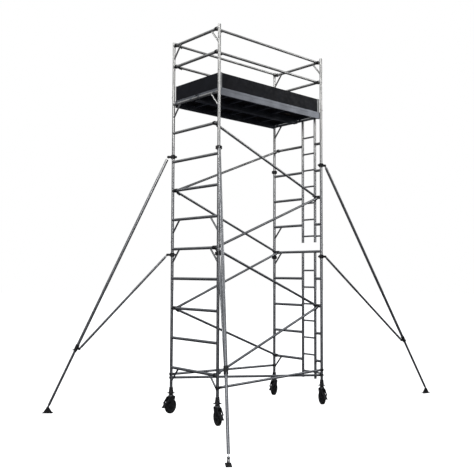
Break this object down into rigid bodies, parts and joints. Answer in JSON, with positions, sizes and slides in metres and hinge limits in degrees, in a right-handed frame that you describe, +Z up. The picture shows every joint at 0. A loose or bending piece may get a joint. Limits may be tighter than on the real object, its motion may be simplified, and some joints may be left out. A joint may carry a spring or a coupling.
{
  "type": "mobile tower scaffold",
  "caption": "Aluminium scaffold tower on castors with stacked frames, built-in ladder, braces, guarded platform with hatch and folding stabilisers.",
  "frame": {"origin": "on the floor at the centre of the tower, midway between the four posts", "axes": "+X along the long side towards the ladder end, +Y to the rear, +Z up"},
  "size_m": [6.6435, 4.497, 6.36],
  "materials": {
    "tube_aluminium": "satin extruded tube with weld marks",
    "platform_aluminium": "satin extrusion",
    "black_casting": "black coated casting",
    "zinc_steel": "zinc plated",
    "deck_plywood": "film faced plywood, dark",
    "toe_board_plywood": "black film faced board",
    "tyre_rubber": "black rubber tread on a dark wheel"
  },
  "bodies": {
    "tower": {"left_lower_frame": "tube_aluminium", "left_upper_frame": "tube_aluminium", "right_lower_frame": "tube_aluminium", "right_upper_frame": "tube_aluminium", "left_guard_frame": "tube_aluminium", "right_guard_frame": "tube_aluminium", "frame_spigots": "zinc_steel", "snap_pins": "zinc_steel", "front_diagonal_braces": "tube_aluminium", "rear_diagonal_braces": "tube_aluminium", "front_ledger": "tube_aluminium", "rear_ledger": "tube_aluminium", "plan_brace": "tube_aluminium", "front_guardrails": "tube_aluminium", "rear_guardrails": "tube_aluminium", "brace_hooks": "black_casting", "front_platform_frame": "platform_aluminium", "rear_platform_frame": "platform_aluminium", "front_deck_board": "deck_plywood", "rear_deck_board": "deck_plywood", "platform_hooks": "platform_aluminium", "toe_boards": "toe_board_plywood", "toe_board_clips": "zinc_steel"},
    "hatch": {"hatch_door": "deck_plywood"},
    "rear_left_stabiliser_arm": {"rear_left_stabiliser_arm": "tube_aluminium", "rear_left_stabiliser_clamps": "black_casting"},
    "front_left_stabiliser_arm": {"front_left_stabiliser_arm": "tube_aluminium", "front_left_stabiliser_clamps": "black_casting"},
    "rear_right_stabiliser_arm": {"rear_right_stabiliser_arm": "tube_aluminium", "rear_right_stabiliser_clamps": "black_casting"},
    "front_right_stabiliser_arm": {"front_right_stabiliser_arm": "tube_aluminium", "front_right_stabiliser_clamps": "black_casting"},
    "rear_left_stabiliser_slider": {"rear_left_stabiliser_slider": "tube_aluminium"},
    "front_left_stabiliser_slider": {"front_left_stabiliser_slider": "tube_aluminium"},
    "rear_right_stabiliser_slider": {"rear_right_stabiliser_slider": "tube_aluminium"},
    "front_right_stabiliser_slider": {"front_right_stabiliser_slider": "tube_aluminium"},
    "rear_left_stabiliser_foot": {"rear_left_stabiliser_foot": "black_casting"},
    "front_left_stabiliser_foot": {"front_left_stabiliser_foot": "black_casting"},
    "rear_right_stabiliser_foot": {"rear_right_stabiliser_foot": "black_casting"},
    "front_right_stabiliser_foot": {"front_right_stabiliser_foot": "black_casting"},
    "rear_left_leg": {"rear_left_leg": "zinc_steel"},
    "front_left_leg": {"front_left_leg": "zinc_steel"},
    "rear_right_leg": {"rear_right_leg": "zinc_steel"},
    "front_right_leg": {"front_right_leg": "zinc_steel"},
    "rear_left_jack_nut": {"rear_left_jack_nut": "black_casting"},
    "front_left_jack_nut": {"front_left_jack_nut": "black_casting"},
    "rear_right_jack_nut": {"rear_right_jack_nut": "black_casting"},
    "front_right_jack_nut": {"front_right_jack_nut": "black_casting"},
    "rear_left_castor_fork": {"rear_left_castor_fork": "black_casting"},
    "front_left_castor_fork": {"front_left_castor_fork": "black_casting"},
    "rear_right_castor_fork": {"rear_right_castor_fork": "black_casting"},
    "front_right_castor_fork": {"front_right_castor_fork": "black_casting"},
    "rear_left_castor_wheel": {"rear_left_castor_wheel": "tyre_rubber"},
    "front_left_castor_wheel": {"front_left_castor_wheel": "tyre_rubber"},
    "rear_right_castor_wheel": {"rear_right_castor_wheel": "tyre_rubber"},
    "front_right_castor_wheel": {"front_right_castor_wheel": "tyre_rubber"},
    "rear_left_brake_pedal": {"rear_left_brake_pedal": "black_casting"},
    "front_left_brake_pedal": {"front_left_brake_pedal": "black_casting"},
    "rear_right_brake_pedal": {"rear_right_brake_pedal": "black_casting"},
    "front_right_brake_pedal": {"front_right_brake_pedal": "black_casting"}
  },
  "joints": [
    {"name": "rear_left_leg_jack", "type": "slide", "parent": "tower", "child": "rear_left_leg", "axis": [0, 0, -1], "range_m": [0, 0.2]},
    {"name": "rear_left_jack_nut_turn", "type": "hinge", "parent": "tower", "child": "rear_left_jack_nut", "pos_m": [-1.25, 0.6, 0.333], "axis": [0, 0, 1], "range_deg": [0, 9000]},
    {"name": "rear_left_castor_swivel", "type": "hinge", "parent": "rear_left_leg", "child": "rear_left_castor_fork", "pos_m": [-1.25, 0.6, 0.289], "axis": [0, 0, 1], "continuous": true},
    {"name": "rear_left_wheel_spin", "type": "hinge", "parent": "rear_left_castor_fork", "child": "rear_left_castor_wheel", "pos_m": [-1.25985, 0.59826, 0.125], "axis": [0.1736, -0.9848, 0], "continuous": true},
    {"name": "rear_left_brake_press", "type": "hinge", "parent": "rear_left_castor_fork", "child": "rear_left_brake_pedal", "pos_m": [-1.38295, 0.57656, 0.19], "axis": [0.1736, -0.9848, 0], "range_deg": [0, 15]},
    {"name": "front_left_leg_jack", "type": "slide", "parent": "tower", "child": "front_left_leg", "axis": [0, 0, -1], "range_m": [0, 0.2]},
    {"name": "front_left_jack_nut_turn", "type": "hinge", "parent": "tower", "child": "front_left_jack_nut", "pos_m": [-1.25, -0.6, 0.333], "axis": [0, 0, 1], "range_deg": [0, 9000]},
    {"name": "front_left_castor_swivel", "type": "hinge", "parent": "front_left_leg", "child": "front_left_castor_fork", "pos_m": [-1.25, -0.6, 0.289], "axis": [0, 0, 1], "continuous": true},
    {"name": "front_left_wheel_spin", "type": "hinge", "parent": "front_left_castor_fork", "child": "front_left_castor_wheel", "pos_m": [-1.25292, -0.60956, 0.125], "axis": [0.9563, -0.2924, 0], "continuous": true},
    {"name": "front_left_brake_press", "type": "hinge", "parent": "front_left_castor_fork", "child": "front_left_brake_pedal", "pos_m": [-1.28947, -0.7291, 0.19], "axis": [0.9563, -0.2924, 0], "range_deg": [0, 15]},
    {"name": "rear_right_leg_jack", "type": "slide", "parent": "tower", "child": "rear_right_leg", "axis": [0, 0, -1], "range_m": [0, 0.2]},
    {"name": "rear_right_jack_nut_turn", "type": "hinge", "parent": "tower", "child": "rear_right_jack_nut", "pos_m": [1.25, 0.6, 0.333], "axis": [0, 0, 1], "range_deg": [0, 9000]},
    {"name": "rear_right_castor_swivel", "type": "hinge", "parent": "rear_right_leg", "child": "rear_right_castor_fork", "pos_m": [1.25, 0.6, 0.289], "axis": [0, 0, 1], "continuous": true},
    {"name": "rear_right_wheel_spin", "type": "hinge", "parent": "rear_right_castor_fork", "child": "rear_right_castor_wheel", "pos_m": [1.24066, 0.59642, 0.125], "axis": [0.3584, -0.9336, 0], "continuous": true},
    {"name": "rear_right_brake_press", "type": "hinge", "parent": "rear_right_castor_fork", "child": "rear_right_brake_pedal", "pos_m": [1.12397, 0.55162, 0.19], "axis": [0.3584, -0.9336, 0], "range_deg": [0, 15]},
    {"name": "front_right_leg_jack", "type": "slide", "parent": "tower", "child": "front_right_leg", "axis": [0, 0, -1], "range_m": [0, 0.2]},
    {"name": "front_right_jack_nut_turn", "type": "hinge", "parent": "tower", "child": "front_right_jack_nut", "pos_m": [1.25, -0.6, 0.333], "axis": [0, 0, 1], "range_deg": [0, 9000]},
    {"name": "front_right_castor_swivel", "type": "hinge", "parent": "front_right_leg", "child": "front_right_castor_fork", "pos_m": [1.25, -0.6, 0.289], "axis": [0, 0, 1], "continuous": true},
    {"name": "front_right_wheel_spin", "type": "hinge", "parent": "front_right_castor_fork", "child": "front_right_castor_wheel", "pos_m": [1.24562, -0.60899, 0.125], "axis": [0.8988, -0.4384, 0], "continuous": true},
    {"name": "front_right_brake_press", "type": "hinge", "parent": "front_right_castor_fork", "child": "front_right_brake_pedal", "pos_m": [1.19082, -0.72134, 0.19], "axis": [0.8988, -0.4384, 0], "range_deg": [0, 15]},
    {"name": "rear_left_stabiliser_swing", "type": "hinge", "parent": "tower", "child": "rear_left_stabiliser_arm", "pos_m": [-1.25, 0.6, 3.5], "axis": [0, 0, 1], "range_deg": [-45, 45]},
    {"name": "rear_left_stabiliser_extend", "type": "slide", "parent": "rear_left_stabiliser_arm", "child": "rear_left_stabiliser_slider", "axis": [-0.3139, 0.2827, -0.9064], "range_m": [0, 0.4]},
    {"name": "rear_left_foot_tilt", "type": "hinge", "parent": "rear_left_stabiliser_slider", "child": "rear_left_stabiliser_foot", "pos_m": [-2.79203, 1.98845, 0.09], "axis": [-0.6691, -0.7431, 0], "range_deg": [-25, 25]},
    {"name": "front_left_stabiliser_swing", "type": "hinge", "parent": "tower", "child": "front_left_stabiliser_arm", "pos_m": [-1.25, -0.6, 3.5], "axis": [0, 0, 1], "range_deg": [-45, 45]},
    {"name": "front_left_stabiliser_extend", "type": "slide", "parent": "front_left_stabiliser_arm", "child": "front_left_stabiliser_slider", "axis": [-0.2553, -0.3388, -0.9056], "range_m": [0, 0.4]},
    {"name": "front_left_foot_tilt", "type": "hinge", "parent": "front_left_stabiliser_slider", "child": "front_left_stabiliser_foot", "pos_m": [-2.50478, -2.26516, 0.09], "axis": [0.7986, -0.6018, 0], "range_deg": [-25, 25]},
    {"name": "rear_right_stabiliser_swing", "type": "hinge", "parent": "tower", "child": "rear_right_stabiliser_arm", "pos_m": [1.25, 0.6, 3.5], "axis": [0, 0, 1], "range_deg": [-45, 45]},
    {"name": "rear_right_stabiliser_extend", "type": "slide", "parent": "rear_right_stabiliser_arm", "child": "rear_right_stabiliser_slider", "axis": [0.3051, 0.2946, -0.9056], "range_m": [0, 0.4]},
    {"name": "rear_right_foot_tilt", "type": "hinge", "parent": "rear_right_stabiliser_slider", "child": "rear_right_stabiliser_foot", "pos_m": [2.74982, 2.04836, 0.09], "axis": [-0.6947, 0.7193, 0], "range_deg": [-25, 25]},
    {"name": "front_right_stabiliser_swing", "type": "hinge", "parent": "tower", "child": "front_right_stabiliser_arm", "pos_m": [1.25, -0.6, 3.5], "axis": [0, 0, 1], "range_deg": [-45, 45]},
    {"name": "front_right_stabiliser_extend", "type": "slide", "parent": "front_right_stabiliser_arm", "child": "front_right_stabiliser_slider", "axis": [0.4755, -0.1274, -0.8704], "range_m": [0, 0.4]},
    {"name": "front_right_foot_tilt", "type": "hinge", "parent": "front_right_stabiliser_slider", "child": "front_right_stabiliser_foot", "pos_m": [3.66481, -1.24705, 0.09], "axis": [0.2588, 0.9659, 0], "range_deg": [-25, 25]},
    {"name": "hatch_hinge", "type": "hinge", "parent": "tower", "child": "hatch", "pos_m": [0.82, -0.521, 5.35], "axis": [1, 0, 0], "range_deg": [0, 90]}
  ],
  "couplings": [
    {"joint": "rear_left_jack_nut_turn", "follows": "rear_left_leg_jack", "rad_per_m": 785.4},
    {"joint": "front_left_jack_nut_turn", "follows": "front_left_leg_jack", "rad_per_m": 785.4},
    {"joint": "rear_right_jack_nut_turn", "follows": "rear_right_leg_jack", "rad_per_m": 785.4},
    {"joint": "front_right_jack_nut_turn", "follows": "front_right_leg_jack", "rad_per_m": 785.4}
  ]
}
